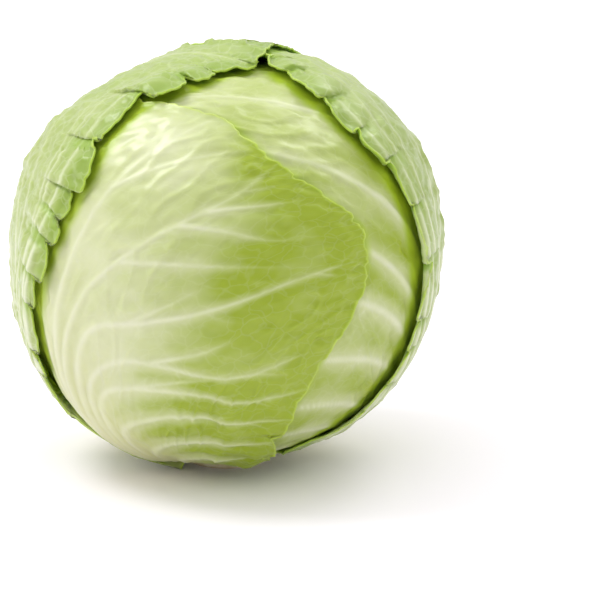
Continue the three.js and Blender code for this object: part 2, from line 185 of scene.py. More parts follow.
# %% The leaves
LEAVES = [
    dict(INNER_LEAF, name="inner_leaf_back", azimuth=150, bend=0, seed=1),
    dict(INNER_LEAF, name="inner_leaf_left", azimuth=-100, bend=10, seed=2),
    dict(INNER_LEAF, name="inner_leaf_right", azimuth=25, bend=-10, seed=3),
    dict(
        INNER_LEAF, name="crown_leaf", azimuth=92, bend=-42,
        left=[198, 192, 184, 168, 138, 100, 72, 50],
        right=[198, 196, 184, 158, 130, 100, 70, 46],
        rib=2.0, lift=0.1, fold=0.9, fold_length=18, fold_reach=16, crinkle=0.3, wrinkle=0.9,
        green=(-1.7, 1.7), detail=(-40, 40), rows=130, columns=290, seed=4,
    ),
    dict(
        INNER_LEAF, name="back_leaf", azimuth=182, bend=12,
        left=[174, 172, 166, 154, 130, 100, 72, 48],
        right=[174, 172, 164, 150, 126, 98, 70, 46],
        rib=2.2, lift=0.3, fold=1.8, fold_length=22, fold_reach=25, overhang=0.8, curl=0.3, crinkle=0.3,
        green=(-0.6, 0.9), rows=110, columns=210, slot="green_leaf", seed=5,
    ),
    dict(
        INNER_LEAF, name="front_leaf", azimuth=-62, bend=58,
        left=[154, 149, 144, 134, 112, 84, 62, 44],
        right=[154, 149, 148, 147, 130, 92, 58, 40],
        rib=3.4, free=(18, 34), lift=0.1, fold=0.8, fold_length=26, fold_reach=14, overhang=0.6,
        lobe=(70, 9, 4.5), curl=0.3, crinkle=0.3, wrinkle=0.8, crumple=(48, 52, 2.4),
        green=(-0.47, 0.1), detail=(-30, 76), rows=140, columns=335, seed=6,
    ),
    dict(
        INNER_LEAF, name="right_wrapper_leaf", azimuth=135, bend=0,
        left=[173, 174, 161, 134, 104, 78, 58, 42],
        right=[173, 170, 160, 146, 118, 88, 66, 46],
        rib=3.0, ribbed=-1, scallop=1.1, free=(54, 90), lift=0.4,
        fold=3.4, fold_length=24, fold_reach=36, overhang=3.0, uphill=-1,
        creases={232: 0.6, 258: 0.9, 283: 0.5, 313: 1.0, 345: 0.8, 366: 0.4},
        quiet=(370, 560), curl=1.2, curl_width=4.0, crinkle=0.4, wrinkle=0.5,
        green=(-0.8, 1.4), detail=(-60, 30), rows=130, columns=300, slot="green_leaf", seed=7,
    ),
    dict(
        INNER_LEAF, name="left_wrapper_leaf", azimuth=-130, bend=0,
        left=[190, 182, 168, 152, 122, 88, 60, 42],
        right=[190, 184, 168, 149, 104, 46, 28, 24],
        basal=0.45, rib=2.8, ribbed=1, scallop=1.1, free=(46, 80), lift=0.3,
        fold=4.8, fold_length=23, fold_reach=44, overhang=4.0,
        creases={
            412: 0.6, 444: 0.3, 466: 0.8, 497: 1.2, 536: 0.45, 569: 0.9,
            588: 0.35, 603: 0.7, 625: 0.9, 644: 0.4, 672: 0.6,
        },
        quiet=(240, 428), curl=0.3, tip_curl=(404, 6, 0.4), crinkle=0.4, wrinkle=0.5,
        green=(-2.4, 0.9), detail=(-12, 66), rows=140, columns=340, slot="green_leaf", seed=8,
    ),
]
print("leaves:", ", ".join(leaf["name"] for leaf in LEAVES))

# %% [markdown]
# The margin of a blade is a line that runs from the petiole out round one lobe, over the tip and back
# round the other lobe. Folds, curls and colours near the edge all depend on how far inside this line a
# place is, and on where along it the nearest point is, so both are measured once for the whole leaf.

# %% The margin
RAGGED = 0.35        # height of the margin's small teeth, in degrees
LEAST_REACH = 4.0    # the blade is never shorter than this
PETIOLE_ANGLE = 34   # the margin starts this far round from the midrib
ROW_CROWDING = 1.25  # how much the rows crowd towards the margin
SEEN_CROWDING = 2.0  # and the columns to where the margin is seen best
SEEN_BLEND = 8       # over this many degrees they spread out again
GATHERING = 1.3      # how much the columns gather at the midrib near the stalk
MARGIN_SAMPLES = 1200


def foot_of(leaf):
    """Where the blade's midrib leaves the stalk, in degrees of arc."""
    return math.degrees(math.asin((STALK_RADIUS + 0.5) / leaf["foot_radius"]))


def start_of(leaf, angle):
    """Where the blade begins at each angle from its midrib."""
    return foot_of(leaf) + leaf["basal"] * along(REACH_ANGLES, START, np.abs(angle))


def reach_of(leaf, angle):
    """Where it ends, with slow waves and small teeth."""
    seed = leaf["seed"]
    scallop = np.sin(angle * 0.21 + seed * 1.7) + 0.6 * np.sin(angle * 0.37 + seed * 4.1)
    teeth = np.sin(angle * 1.9 + seed) * np.sin(angle * 0.83 + 2 * seed)
    teeth = teeth + 0.5 * np.sin(angle * 4.3 + 3 * seed)
    reach = outline(leaf, angle) + leaf["scallop"] * scallop + RAGGED * teeth
    return np.maximum(reach, start_of(leaf, angle) + LEAST_REACH)


def column_places(leaf):
    """Where the fan's columns stand, from -1 to 1: evenly along the margin, and closer where it is seen."""
    angle = np.linspace(-SPREAD, SPREAD, MARGIN_SAMPLES)
    reach = outline(leaf, angle)
    x = reach * np.sin(np.radians(angle))
    y = reach * np.cos(np.radians(angle))
    middle = (angle[1:] + angle[:-1]) / 2
    low, high = leaf["detail"]
    seen = smooth((middle - low) / SEEN_BLEND + 0.5) * smooth((high - middle) / SEEN_BLEND + 0.5)
    steps = np.hypot(np.diff(x), np.diff(y)) * (1 + SEEN_CROWDING * seen)
    travelled = np.concatenate([[0], np.cumsum(steps)])
    return np.interp(np.linspace(0, travelled[-1], leaf["columns"] + 1), travelled, angle) / SPREAD


def fan(leaf):
    """The leaf's grid: angle and distance at the stalk for each row and column."""
    f = column_places(leaf)[None, :]
    t = 1 - (1 - np.linspace(0, 1, leaf["rows"] + 1)[:, None]) ** ROW_CROWDING
    gather = GATHERING + (1 - GATHERING) * smooth(t)
    angle = np.sign(f) * SPREAD * np.abs(f) ** gather
    start = start_of(leaf, angle)
    distance = start + (reach_of(leaf, angle) - start) * t
    return angle, distance


# %% [markdown]
# How far a place is from the margin, or from a vein, is the same question: how far is it from a line of
# points? The answer also says where along the line the nearest place is, and which way the line runs
# there.

# %% The nearest place on a line
def nearest_on_line(points, line):
    """For each point: distance to the line, place along it and direction there. Then the line's length."""
    best = np.full(len(points), 1e9)
    place = np.zeros(len(points))
    direction = np.zeros((len(points), 2))
    steps = np.diff(line, axis=0)
    lengths = np.maximum(np.linalg.norm(steps, axis=1), 1e-9)
    starts = np.concatenate([[0], np.cumsum(lengths)])
    for k in range(len(steps)):
        unit = steps[k] / lengths[k]
        offset = points - line[k]
        s = np.clip(offset @ unit, 0, lengths[k])
        gap = np.linalg.norm(offset - s[:, None] * unit, axis=1)
        nearer = gap < best
        best = np.where(nearer, gap, best)
        place = np.where(nearer, starts[k] + s, place)
        direction[nearer] = unit
    return best, place, direction, starts[-1]


def margin_line(angle, x, y):
    """The free margin as points in millimetres, from the left of the petiole round to its right."""
    foot = np.abs(angle[0]) > PETIOLE_ANGLE
    left = np.flatnonzero(foot & (angle[0] < 0))[::-1]
    right = np.flatnonzero(foot & (angle[0] > 0))[::-1]
    plane = np.stack([x, y], axis=-1)
    parts = [plane[0, left], plane[1:, 0], plane[-1, 1:], plane[-2::-1, -1], plane[0, right]]
    return np.concatenate(parts)[::2] * ARC_MM


# %% [markdown]
# A cabbage leaf's veins leave the stalk side by side. They run up through the wide pale base, one after
# another they turn away from the midrib towards the margin, and then they fork. Each vein here is a short
# smooth curve, and the skin stores how far each of its points is from the nearest one.

# %% Where the veins run
END_ANGLES = [12, 27, 39, 50, 59, 67, 75]    # where the main veins of a side meet the margin
TURN_HEIGHTS = [78, 84, 77, 66, 56, 45, 34]  # and where they turn towards it
FORK_PLACES = [0.5, 0.64, 0.77, 0.88]        # parts of a vein's length
TIP_FORKS = [0.7, 0.79, 0.87, 0.93]          # parts of the midrib's
RIB_DEPTHS = [0.95, 0.9, 0.84, 0.78, 0.71, 0.64, 0.56, 0.47]  # parts of the way to the margin
RIB_ANGLES = [64, 56, 48, 40, 32, 24, 15, 6]

# Half widths at a vein's start and end, and heights there, in millimetres.
MIDRIB_SIZE = (3.4, 1.1, 1.1, 0.4)
RIB_SIZE = (1.8, 1.1, 1.2, 0.3)
VEIN_SIZE = (2.6, 2.0, 1.3, 0.3)
FRONT_VEIN_SIZE = (2.6, 1.0, 1.3, 0.3)
FRONT_BRANCH_SIZE = (1.6, 0.8, 0.7, 0.15)
TIP_FORK_SIZE = (1.2, 0.9, 0.4, 0.1)
FORK_SIZE = (1.1, 0.8, 0.4, 0.1)

# The front leaf's main veins, as angle and distance at the stalk. They bend more sharply than a leaf's veins
# usually do, because this leaf is drawn round the head's shoulder.
FRONT_VEINS = [
    [(3, 13), (2, 45), (2, 67), (5, 91), (9, 106), (12, 121), (13, 134), (11, 148)],
    [(5, 15), (5, 50), (8, 80), (17, 89), (24, 98), (29, 110), (32, 126), (34, 138)],
    [(8, 17), (8, 45), (10, 65), (17, 76), (26, 80), (35, 83), (42, 91), (46, 106)],
    [(12, 19), (11, 42), (13, 60), (19, 67), (29, 72), (38, 76), (47, 81), (54, 94)],
    [(18, 21), (16, 40), (20, 51), (30, 60), (39, 66), (50, 71), (60, 81)],
    [(26, 23), (26, 36), (35, 47), (46, 54), (58, 60), (66, 67)],
    [(36, 25), (40, 34), (50, 41), (62, 46), (71, 54)],
]
FRONT_BRANCHES = [
    [(0, 122), (4, 136), (8, 151)],
    [(13, 126), (17, 136), (19, 145)],
    [(12, 119), (17, 123), (23, 128), (26, 137)],
    [(9, 104), (16, 109), (23, 116), (30, 127)],
    [(15, 87), (20, 98), (23, 110)],
    [(24, 80), (31, 90), (34, 102)],
    [(22, 69), (31, 77), (40, 87)],
]
print("drawn veins:", len(FRONT_VEINS), "and", len(FRONT_BRANCHES), "branches")


# %% Ways to draw a vein
def curve(points, steps):
    """A smooth line from the first to the last of four guide points."""
    t = np.linspace(0, 1, steps)[:, None]
    a, b, c, d = (np.asarray(p, float) for p in points)
    return (1 - t) ** 3 * a + 3 * (1 - t) ** 2 * t * b + 3 * (1 - t) * t**2 * c + t**3 * d


def through(places, steps=4):
    """A smooth line through places given as angle and distance at the stalk, in millimetres."""
    angle = np.radians([p[0] for p in places])
    distance = np.array([p[1] for p in places])
    number = np.arange(len(places))
    at = np.linspace(0, len(places) - 1, steps * len(places))
    x = along(number, distance * np.sin(angle), at)
    y = along(number, distance * np.cos(angle), at)
    return np.stack([x, y], axis=-1) * ARC_MM


def fork(path, at, turn, length, rng):
    """A side vein that leaves a vein part of the way along it and bends back towards its direction."""
    k = int(at * (len(path) - 1))
    ahead = path[min(k + 1, len(path) - 1)] - path[k - 1]
    heading = math.atan2(ahead[1], ahead[0])
    first = heading + turn
    second = heading + turn * 0.45
    start = path[k]
    middle = start + 0.45 * length * np.array([math.cos(first), math.sin(first)])
    end = middle + 0.6 * length * np.array([math.cos(second), math.sin(second)])
    wander = rng.normal(0, 0.04 * length, 2)
    return curve([start, start + 0.6 * (middle - start), middle + wander, end], 7)


def main_vein(leaf, side, i, angle, turn_height):
    """One of the veins that rise beside the midrib and then turn away to the margin."""
    foot = foot_of(leaf) * ARC_MM
    reach = float(reach_of(leaf, np.array([angle]))[0]) * 0.97 * ARC_MM
    end = reach * np.array([math.sin(math.radians(angle)), math.cos(math.radians(angle))])
    turn_y = min(turn_height, 0.8 * reach / ARC_MM) * ARC_MM
    start = np.array([side * (1.2 + 1.5 * i), foot])
    bend = np.array([side * (2.0 + 2.6 * i), turn_y])
    return curve([start, bend, bend + 0.3 * (end - bend), end], 20)


def ribs_of(leaf, side, rng):
    """Ribs that climb the seen side of a wrapper next to each other, as its margin does."""
    angles = np.array(RIB_ANGLES) * side
    paths = []
    for depth in RIB_DEPTHS:
        reach = outline(leaf, angles) * (depth + rng.uniform(-0.012, 0.012))
        paths.append(through(list(zip(angles + rng.uniform(-2, 2), reach))))
    return paths


# %% [markdown]
# A leaf's veins are drawn in order: the midrib, the forks at its tip, and then the main veins of the left
# and of the right side with their own forks. Each leaf has its own seed, so its veins are the same on
# every run.

# %% All veins of a leaf
def main_vein_size(leaf, side):
    """How wide and high the main veins of a side are."""
    if leaf["ribbed"] == side:
        return RIB_SIZE
    return FRONT_VEIN_SIZE if leaf["name"] == "front_leaf" else VEIN_SIZE


def veins_of(leaf):
    """Every vein as its points in millimetres and its size."""
    rng = np.random.default_rng(leaf["seed"])
    tip = float(reach_of(leaf, np.array([0.0]))[0]) * ARC_MM
    foot = foot_of(leaf) * ARC_MM
    midrib = curve([(0, foot), (0, 0.35 * tip), (0, 0.7 * tip), (0, 0.98 * tip)], 24)
    drawn = leaf["name"] == "front_leaf"
    veins = [(midrib, MIDRIB_SIZE)]
    for side in (-1, 1):
        for at in TIP_FORKS:
            turn = -side * math.radians(rng.uniform(38, 50))
            path = fork(midrib, at + rng.uniform(-0.02, 0.02), turn, rng.uniform(24, 34), rng)
            veins.append((path, TIP_FORK_SIZE))
        paths = []
        for i, (end_angle, turn_height) in enumerate(zip(END_ANGLES, TURN_HEIGHTS)):
            angle = side * (end_angle + rng.uniform(-2.5, 2.5))
            paths.append(main_vein(leaf, side, i, angle, turn_height + rng.uniform(-4, 4)))
        if drawn and side > 0:
            paths = [through(places) for places in FRONT_VEINS]
        if leaf["ribbed"] == side:
            paths = ribs_of(leaf, side, rng)
        for path in paths:
            veins.append((path, main_vein_size(leaf, side)))
            for n, at in enumerate(FORK_PLACES):
                outer = n % 2
                turn = (-1 if outer else 1) * side * math.radians(rng.uniform(36, 54))
                length = rng.uniform(22, 32) if outer else rng.uniform(14, 22)
                veins.append((fork(path, at, turn, length * (1.3 - 0.6 * at), rng), FORK_SIZE))
    if drawn:
        veins += [(through(places), FRONT_BRANCH_SIZE) for places in FRONT_BRANCHES]
    return veins


# %% [markdown]
# A vein stands highest on its own line. From there its height falls off in two steps, a round crest on a
# wider foot, as on the real leaf. The halo is a wider mark of the same vein, for the pale strip of blade
# beside it.

# %% The relief of the veins
VEIN_CREST = 0.75  # the crest's part of the height
FOOT_SPREAD = 2.4  # how many times wider the foot is
HALO_SPREAD = 3.5
VEIN_LIMIT = 8     # nothing is worked out further from a vein than this many of its half widths


def vein_field(points, veins):
    """For each point: the height of the vein relief, and how near a vein it is, fading over a few widths."""
    relief = np.zeros(len(points))
    halo = np.zeros(len(points))
    for path, (wide, narrow, tall, low) in veins:
        margin = VEIN_LIMIT * wide
        near = np.all((points > path.min(0) - margin) & (points < path.max(0) + margin), axis=1)
        index = np.flatnonzero(near)
        if not len(index):
            continue
        gap, place, _, length = nearest_on_line(points[index], path)
        share = place / length
        half_width = wide + (narrow - wide) * share
        height = tall + (low - tall) * share
        across = gap / half_width
        crest = VEIN_CREST * np.exp(-(across**2))
        foot = (1 - VEIN_CREST) * np.exp(-((across / FOOT_SPREAD) ** 2))
        relief[index] = np.maximum(relief[index], height * (crest + foot))
        halo[index] = np.maximum(halo[index], height * np.exp(-((across / HALO_SPREAD) ** 2)))
    return relief, halo


# %% [markdown]
# A leaf lies on what is under it. To find out how far out that is, a ray is shot from outside towards the
# head's middle at every point of the new skin, and it stops on the outermost surface laid so far. Taken
# as it is, the new leaf would copy every edge below it like cling film. A real leaf is stiffer: it spans
# from high place to high place. So the radii are blurred, and lifted back wherever the blur would sink
# them into the leaf below.

# %% Laying a leaf on what is under it
GAP = 0.35               # air between a leaf and what it lies on
OUTSIDE = 130.0          # a radius that is outside everything
MOUTH_RADIUS = 76.0      # the heart's radius over the hole that the stalk fills
STIFFNESS = 5            # how many times the skin is drawn smooth
WINDOW_PARTS = (32, 42)  # the smoothing window, as parts of the grid's rows and columns
laid_points = []
laid_faces = []


def lay(points, faces):
    """Adds a surface to what the next leaf can lie on. points are millimetres from the head's middle."""
    first = sum(len(p) for p in laid_points)
    laid_points.append(points)
    laid_faces.extend((faces + first).tolist())


def radius_under(directions):
    """How far out the outermost surface laid so far is, in each direction."""
    tree = BVHTree.FromPolygons(np.concatenate(laid_points).tolist(), laid_faces)
    shape = directions.shape[:-1]
    found = []
    for d in directions.reshape(-1, 3).tolist():
        d = Vector(d)
        hit = tree.ray_cast(d * OUTSIDE, -d)
        found.append(OUTSIDE - hit[3] if hit[3] is not None else 0.0)
    return np.maximum(np.array(found).reshape(shape), MOUTH_RADIUS)


# %% Stiffening a draped skin
def blurred(grid, reaches):
    """A grid averaged over a window, with its edges repeated. reaches are in rows and in columns."""
    for axis, reach in enumerate(reaches):
        wide = [(0, 0), (0, 0)]
        wide[axis] = (reach + 1, reach)
        total = np.cumsum(np.pad(grid, wide, mode="edge"), axis=axis)
        n = grid.shape[axis]
        high = np.take(total, np.arange(2 * reach + 1, 2 * reach + 1 + n), axis=axis)
        low = np.take(total, np.arange(n), axis=axis)
        grid = (high - low) / (2 * reach + 1)
    return grid


def highest_near(grid, reaches):
    """A grid of the highest value in a window."""
    for axis, reach in enumerate(reaches):
        wide = [(0, 0), (0, 0)]
        wide[axis] = (reach, reach)
        padded = np.pad(grid, wide, mode="edge")
        n = grid.shape[axis]
        grid = np.max([np.take(padded, np.arange(k, k + n), axis=axis) for k in range(2 * reach + 1)], axis=0)
    return grid


def draped(under, leaf):
    """Radii that clear what is under them and span its steps."""
    window = (max(3, leaf["rows"] // WINDOW_PARTS[0]), max(3, leaf["columns"] // WINDOW_PARTS[1]))
    least = highest_near(under, (1, 1))
    rest = highest_near(under, (window[0] // 2, window[1] // 2))
    for _ in range(STIFFNESS):
        rest = np.maximum(blurred(rest, window), least)
    return np.maximum(blurred(rest, (1, 2)), least)


# %% The heart is laid first
heart_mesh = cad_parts["heart"].data
heart_points = np.array([v.co for v in heart_mesh.vertices]) / MM - CENTRE
heart_faces = np.array([p.vertices for p in heart_mesh.polygons])
lay(heart_points, heart_faces)
print("the heart is laid:", len(heart_faces), "faces")

# %% [markdown]
# The folds of a free margin run in from the edge and die out over a few centimetres, because the edge of
# the blade grew longer than the head it wraps. Each leaf's rim also curls a little, and its blade is
# crinkled between the veins. These are small heights added to the radius, and the curl also pulls the rim
# back over the blade.

# %% Waves and wrinkles
WRINKLE_SPREAD = (0.8, 2.8)  # how the plane is stretched for wrinkles, along the leaf and round the stalk
WRINKLE_WIDTH = 13
WRINKLE_PATCH = 60


def ripples(points, wavelength, seed, count=7):
    """Smooth seeded noise from -1 to 1 over a plane, as a few crossing waves."""
    rng = np.random.default_rng(seed)
    total = np.zeros(len(points))
    for _ in range(count):
        heading = rng.uniform(0, 2 * math.pi)
        length = wavelength * rng.uniform(0.7, 1.5)
        across = points @ np.array([math.cos(heading), math.sin(heading)])
        total += np.sin(2 * math.pi * across / length + rng.uniform(0, 2 * math.pi))
    return total / math.sqrt(count)


def wrinkled(angle, distance, seed):
    """Thin crests from 0 to 1 in patches, drawn out along the leaf as its veins are."""
    spread = np.stack([distance * WRINKLE_SPREAD[0], angle * WRINKLE_SPREAD[1]], axis=-1)
    crest = 1 - np.abs(ripples(spread, WRINKLE_WIDTH, seed + 90))
    patch = ripples(spread, WRINKLE_PATCH, seed + 95)
    return np.clip(crest, 0, 1) ** 3 * smooth(0.5 + 0.6 * patch)


# %% [markdown]
# A fold rises slowly along the margin and then falls back at once, like a wave that breaks, and its crest
# leans over the place where it falls. That place is the crease. The creases that show best are given with
# the leaf, and the rest of the margin gets seeded ones.

# %% Folds of the margin
FOLD_DROP = 4.5             # millimetres over which a fold falls back
CREASE_WIDTHS = (3.0, 5.5)  # how far a crease's shade reaches before it and after it
CLEARANCE = 0.6             # seeded creases keep this part of a fold's length from the given ones


def crease_places(leaf, length):
    """Places along the margin where a fold falls back, and how high it is there.

    They are those given, and seeded ones on the rest of the margin.
    """
    rng = np.random.default_rng(leaf["seed"] + 60)
    spacing = leaf["fold_length"]
    places = [-spacing]
    while places[-1] < length + spacing:
        places.append(places[-1] + spacing * rng.uniform(0.65, 1.35))
    given = leaf["creases"]
    if given:
        low = min(given) - CLEARANCE * spacing
        high = max(given) + CLEARANCE * spacing
        places = [p for p in places if p < low or p > high]
    heights = {place: rng.uniform(0.7, 1.15) for place in places} | given
    places = sorted(heights)
    return np.array(places), np.array([heights[place] for place in places])


def folds_along(leaf, place, length):
    """The folds at places along the margin: height, how far the crest leans, and nearness to a crease."""
    creases, heights = crease_places(leaf, length)
    k = np.clip(np.searchsorted(creases, place), 1, len(creases) - 1)
    span = creases[k] - creases[k - 1]
    part = np.clip((place - creases[k - 1]) / span, 0, 1)
    tall = heights[k]
    if leaf["uphill"] < 0:
        part = 1 - part
        tall = heights[k - 1]
    to_crease = (1 - part) * span
    standing = smooth(to_crease / FOLD_DROP)
    from_crease = part * span
    before, after = CREASE_WIDTHS
    crease = np.exp(-((to_crease / before) ** 2)) + np.exp(-((from_crease / after) ** 2))
    height = tall * (0.8 * part**0.8 * standing + 0.3 * np.sin(math.pi * part))
    return height, smooth((part - 0.45) / 0.5) * standing, crease


# %% The swelling of the midrib
RIB_HALF_WIDTH = 13.0
RIB_TIP_HALF_WIDTH = 4.0
RIB_LENGTH = 150.0


def rib_thickness(leaf, x, distance):
    """How much the midrib thickens the leaf, most of all at the stalk."""
    fade = (1 - np.clip(distance / RIB_LENGTH, 0, 1)) ** 1.6
    width = RIB_TIP_HALF_WIDTH + (RIB_HALF_WIDTH - RIB_TIP_HALF_WIDTH) * fade
    return leaf["rib"] * fade * np.exp(-((x / width) ** 2))


# %% [markdown]
# The skin of a leaf starts as a plain grid. Its points are sent to their places on the head, and a
# Solidify modifier then gives it the thickness of a blade, inwards. First comes the rim: it curls up and
# back over the blade, and it is drawn in a little where a fold breaks.

# %% The curl of the rim
BLADE_MIDDLE = np.array([0, LEAF_CENTRE * ARC_MM])  # it tells inwards from outwards
LEAST_CURL = 0.02


def inwards_of(plane, direction):
    """The direction into the blade, at right angles to its margin."""
    inward = np.stack([direction[:, 1], -direction[:, 0]], axis=-1)
    flip = np.sign(np.sum(inward * (BLADE_MIDDLE - plane), axis=1))
    return inward * np.where(flip == 0, 1, flip)[:, None]


def curl_of(leaf, place, inset, free):
    """How far the curl pulls a place inwards, and how far it lifts it."""
    amount = leaf["curl"] * (0.9 + 0.6 * ripples(place[:, None] * [1, 0], 55, leaf["seed"] + 40))
    tip_place, tip_width, tip_curl = leaf["tip_curl"]
    amount = amount + tip_curl * np.exp(-(((place - tip_place) / tip_width) ** 2))
    amount = np.maximum(amount * free, LEAST_CURL)
    width = leaf["curl_width"]
    bend = amount * np.clip(1 - inset / width, 0, 1)
    pulled = np.clip(width - inset, 0, None) - width / amount * np.sin(bend)
    return pulled, width / amount * (1 - np.cos(bend))


# %% [markdown]
# Then the blade. Its radius is what lies under it, a little air and its own thickness, and on these come
# the folds, the midrib, the veins, the swelling between them, and the crinkles and wrinkles.

# %% The skin of a leaf
BLADE = 0.9              # thickness of the blade, in millimetres
ROLL_WIDTH = 9.0         # a free margin rolls back down to the head over this width
LOBE_REACH = 30          # how far the folds of a lobe run in
FOLD_WANDER = 2.5        # how far a fold strays from its straight line
CALMING = 0.9            # how much of a fold is gone where the margin is quiet
NOTCH_DEPTH = 1.4        # how far the margin draws in at a crease, as a part of the fold's height
NOTCH_BULGE = 0.6        # and how far it comes out at a crest
NOTCH_REACH = 10         # how far inside the margin a notch is felt
PUFF = 0.55              # how far the blade swells between veins
CRUMPLE_SIZE = (17, 26)  # degrees round and along, over which a crumpled patch fades
PALE_SIZE = (60, 50)     # the pale base's reach along the leaf in degrees, and across in millimetres
PALE_FLATTENING = 0.55   # how much lower the veins are there
GREEN_LEAN = 0.42        # a leaf is greener to the right and a little further down: partly its own colour, partly painted shade
OPEN_TO_LIGHT = -50.0    # the cover of a leaf that nothing covers


def folds_of(leaf, plane, turned, inset, place, length, free):
    """The folds of a leaf at each point: their size, shape, lean, share, and nearness to a crease."""
    lobe_angle, lobe_width, lobe_fold = leaf["lobe"]
    lobe = np.exp(-(((turned - lobe_angle) / lobe_width) ** 2)) * (lobe_fold > 0)
    size = leaf["fold"] + lobe_fold * lobe
    reach = leaf["fold_reach"] + (LOBE_REACH - leaf["fold_reach"]) * lobe
    wander = FOLD_WANDER * ripples(plane, 45, leaf["seed"] + 70) * smooth(inset / 15)
    shape, leaning, crease = folds_along(leaf, place + wander, length)
    low, high = leaf["quiet"]
    calm = smooth((place - low) / 8) * smooth((high - place) / 8)
    return size * (1 - CALMING * calm), shape, leaning, smooth(1 - inset / reach) * free, crease


def surface_of(leaf, plane, turned, distance, inset, relief, halo):
    """What the midrib, the veins and the blade's own bumps add to the radius."""
    open_blade = smooth((inset - 1) / 8)
    rib = rib_thickness(leaf, plane[:, 0], distance)
    puff = PUFF * (1 - np.clip(halo / 0.5, 0, 1)) * open_blade
    bumps = ripples(plane, 13, leaf["seed"]) + 0.5 * ripples(plane, 6, leaf["seed"] + 20)
    crinkle = leaf["crinkle"] * bumps * (1 - np.clip(relief / 0.4, 0, 1)) * smooth(distance / 60)
    wrinkles = wrinkled(turned, distance, leaf["seed"]) * open_blade * smooth(distance / 70 - 0.3)
    patch_angle, patch_distance, crumple = leaf["crumple"]
    across = (turned - patch_angle) / CRUMPLE_SIZE[0]
    beyond = (distance - patch_distance) / CRUMPLE_SIZE[1]
    crumpled = np.exp(-(across**2) - beyond**2)
    return rib + relief + puff + crinkle + (leaf["wrinkle"] + crumple * crumpled) * wrinkles


def cover_of(leaf, directions):
    """How far inside the outer leaves' margins each point is. There, light only comes through them."""
    outer = LEAVES[LEAVES.index(leaf) + 1 :]
    if not outer:
        return np.full(len(directions), OPEN_TO_LIGHT)
    return np.max([inside_of(other, directions) for other in outer], axis=0)


def leaf_skin(leaf):
    """One leaf's fine skin: its points from the head's middle, its plane, and what the finish needs."""
    petiole = leaf_directions(leaf, np.array([0.0]), np.array([15.0]))
    leaf["foot_radius"] = radius_under(petiole)[0] + GAP
    angle, distance = fan(leaf)
    x = distance * np.sin(np.radians(angle))
    y = distance * np.cos(np.radians(angle))
    plane = np.stack([x, y], axis=-1).reshape(-1, 2) * ARC_MM
    turned = angle.ravel()
    distance = distance.ravel()
    inset, place, direction, length = nearest_on_line(plane, margin_line(angle, x, y))
    free = smooth((distance - leaf["free"][0]) / (leaf["free"][1] - leaf["free"][0]))

    pulled, risen = curl_of(leaf, place, inset, free)
    fold, folds, leaning, share, crease = folds_of(leaf, plane, turned, inset, place, length, free)
    folded = np.clip(folds, 0, 1)
    drawn_in = NOTCH_DEPTH * (1 - folded) ** 2 - NOTCH_BULGE * folded
    notch = fold * drawn_in * np.exp(-inset / NOTCH_REACH) * free
    over = leaf["uphill"] * leaf["overhang"] * leaning * share
    moved = plane + inwards_of(plane, direction) * (pulled + notch)[:, None] + direction * over[:, None]
    directions = leaf_directions(leaf, moved[:, 0] / ARC_MM, moved[:, 1] / ARC_MM).reshape(*x.shape, 3)

    rest = draped(radius_under(directions), leaf).ravel()
    relief, halo = vein_field(plane, veins_of(leaf))
    paleness = np.exp(-distance / PALE_SIZE[0]) * np.exp(-((plane[:, 0] / PALE_SIZE[1]) ** 2))
    relief *= 1 - PALE_FLATTENING * paleness
    rolled = 0.35 + 0.65 * smooth(inset / ROLL_WIDTH)
    radius = rest + GAP + BLADE + (leaf["lift"] + fold * folds * rolled) * share + risen
    radius += surface_of(leaf, plane, turned, distance, inset, relief, halo)

    flat = directions.reshape(-1, 3)
    green_from, green_to = leaf["green"]
    green = smooth((flat[:, 0] - GREEN_LEAN * flat[:, 2] - green_from) / (green_to - green_from))
    # The nearness to a crease is kept for the painted shade in it.
    crease = crease * share * np.clip(fold / 3, 0, 1)
    facts = dict(vein=relief, halo=halo, base=paleness, rim=inset, green=green, crease=crease)
    facts["cover"] = cover_of(leaf, flat)
    return flat * radius[:, None], plane, facts


# %% [markdown]
# The grid's UV map is the leaf's plane, so a pattern on it grows with the leaf. Seven attributes tell the
# finish where the veins and the strips beside them, the pale base, the margin, the green side, the
# covered parts and the creases are.

# %% From a grid to a leaf
UV_SPAN = 300.0  # millimetres of the leaf's plane across the UV map


def only(piece):
    """Selects one object and nothing else."""
    bpy.ops.object.select_all(action="DESELECT")
    piece.select_set(True)
    bpy.context.view_layer.objects.active = piece


def store(mesh, name, values):
    """Keeps a value for each point of a mesh."""
    attribute = mesh.attributes.new(name, "FLOAT", "POINT")
    attribute.data.foreach_set("value", np.asarray(values, np.float32).ravel())


def make_leaf(leaf):
    """Makes one leaf as a closed, solid piece."""
    points, plane, facts = leaf_skin(leaf)
    bpy.ops.object.select_all(action="DESELECT")
    bpy.ops.mesh.primitive_grid_add(x_subdivisions=leaf["columns"], y_subdivisions=leaf["rows"], size=0.2)
    piece = bpy.context.object
    piece.name = leaf["name"] + "_fine"
    mesh = piece.data
    mesh.name = piece.name
    mesh.vertices.foreach_set("co", ((points + CENTRE) * MM).astype(np.float32).ravel())
    for name, values in facts.items():
        store(mesh, name, values)
    corners = np.zeros(len(mesh.loops), np.int32)
    mesh.loops.foreach_get("vertex_index", corners)
    mesh.uv_layers[0].data.foreach_set("uv", (plane[corners] / UV_SPAN + [0.5, 0]).astype(np.float32).ravel())
    faces = np.zeros(len(mesh.polygons) * 4, np.int32)
    mesh.polygons.foreach_get("vertices", faces)
    lay(points, faces.reshape(-1, 4))
    mesh.update()
    only(piece)
    blade = piece.modifiers.new("blade", "SOLIDIFY")
    blade.thickness = BLADE * MM
    blade.offset = -1
    bpy.ops.object.modifier_apply(modifier="blade")
    bpy.ops.object.shade_smooth()
    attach(piece, "root")
    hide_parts(leaf["name"])
    print(piece.name, len(piece.data.polygons), "faces")
    return piece


# %% Lay the leaves one on another
fine_leaves = [make_leaf(leaf) for leaf in LEAVES]
